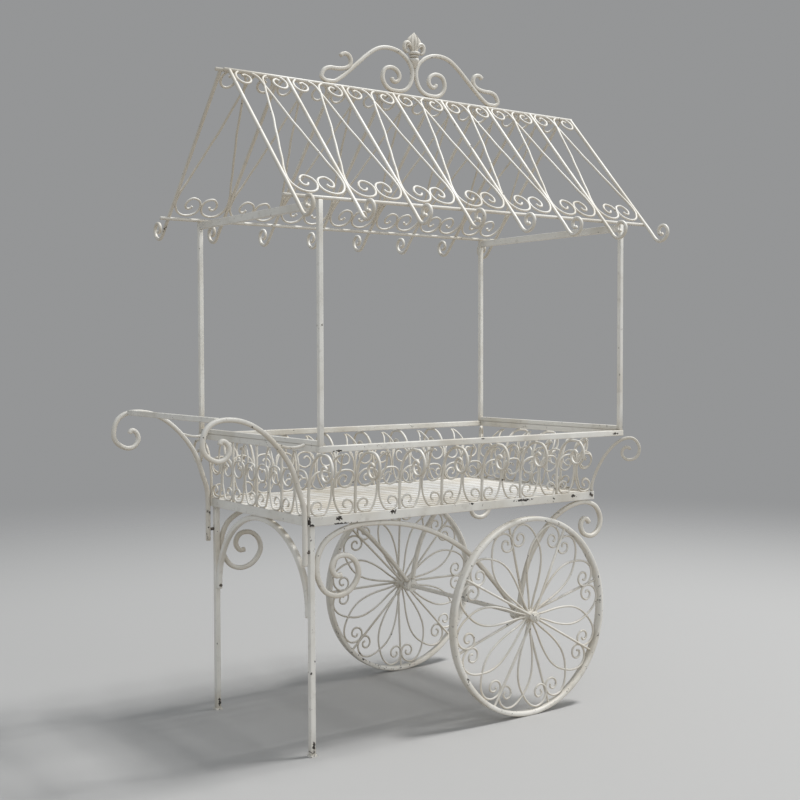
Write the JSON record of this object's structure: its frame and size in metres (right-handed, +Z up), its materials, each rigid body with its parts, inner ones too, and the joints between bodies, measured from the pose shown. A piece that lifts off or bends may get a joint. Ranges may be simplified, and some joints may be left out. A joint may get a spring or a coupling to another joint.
{
  "type": "flower cart stand",
  "caption": "Two-wheeled wrought iron display cart with scrolled gallery tray, curled push handles and open scrolled gable roof on posts",
  "frame": {"origin": "middle of the footprint box at ground level", "axes": "+X runs along the cart from the push handles to the free end, +Y across it away from the near side, +Z up"},
  "size_m": [1.7784, 1.0364, 2.3916],
  "materials": {
    "cream_paint": "antique cream white paint, satin, chipped to dark iron at edges and joints",
    "slat_paint": "white paint, satin",
    "aged_steel": "dark worn steel with traces of paint"
  },
  "bodies": {
    "cart": {"deck_rail_near": "cream_paint", "deck_rail_far": "cream_paint", "deck_rail_left": "cream_paint", "deck_rail_right": "cream_paint", "deck_slats": "slat_paint", "deck_bearer_1": "cream_paint", "deck_bearer_2": "cream_paint", "deck_bearer_3": "cream_paint", "rim_near": "cream_paint", "post_near_left": "cream_paint", "post_near_right": "cream_paint", "rim_far": "cream_paint", "post_far_left": "cream_paint", "post_far_right": "cream_paint", "rim_left": "cream_paint", "cross_rail_low_left": "cream_paint", "cross_rail_top_left": "cream_paint", "rim_right": "cream_paint", "cross_rail_low_right": "cream_paint", "cross_rail_top_right": "cream_paint", "gallery_near": "cream_paint", "gallery_far": "cream_paint", "gallery_right": "cream_paint", "gallery_left": "cream_paint", "roof_panel_near": "cream_paint", "roof_panel_far": "cream_paint", "ridge_clip_1": "cream_paint", "ridge_clip_2": "cream_paint", "ridge_clip_3": "cream_paint", "crest": "cream_paint", "finial": "cream_paint", "handle_near": "cream_paint", "handle_spacer_near": "aged_steel", "handle_far": "cream_paint", "handle_spacer_far": "aged_steel", "push_bar": "cream_paint", "leg_near": "cream_paint", "foot_near": "cream_paint", "leg_far": "cream_paint", "foot_far": "cream_paint", "leg_arch": "cream_paint", "arch_bolt_near": "aged_steel", "arch_bolt_far": "aged_steel", "carrier_near_left": "cream_paint", "carrier_near_right": "cream_paint", "axle_bracket_near": "cream_paint", "carrier_far_left": "cream_paint", "carrier_far_right": "cream_paint", "axle_bracket_far": "cream_paint", "axle": "aged_steel", "axle_washer_near": "aged_steel", "axle_nut_near": "aged_steel", "axle_washer_far": "aged_steel", "axle_nut_far": "aged_steel"},
    "wheel_near": {"wheel_band_near": "cream_paint", "wheel_web_near": "cream_paint"},
    "wheel_far": {"wheel_band_far": "cream_paint", "wheel_web_far": "cream_paint"}
  },
  "joints": [
    {"name": "roll_near", "type": "hinge", "parent": "cart", "child": "wheel_near", "pos_m": [0.34218, -0.38, 0.345], "axis": [0, 1, 0], "continuous": true},
    {"name": "roll_far", "type": "hinge", "parent": "cart", "child": "wheel_far", "pos_m": [0.34218, 0.38, 0.345], "axis": [0, 1, 0], "continuous": true}
  ]
}
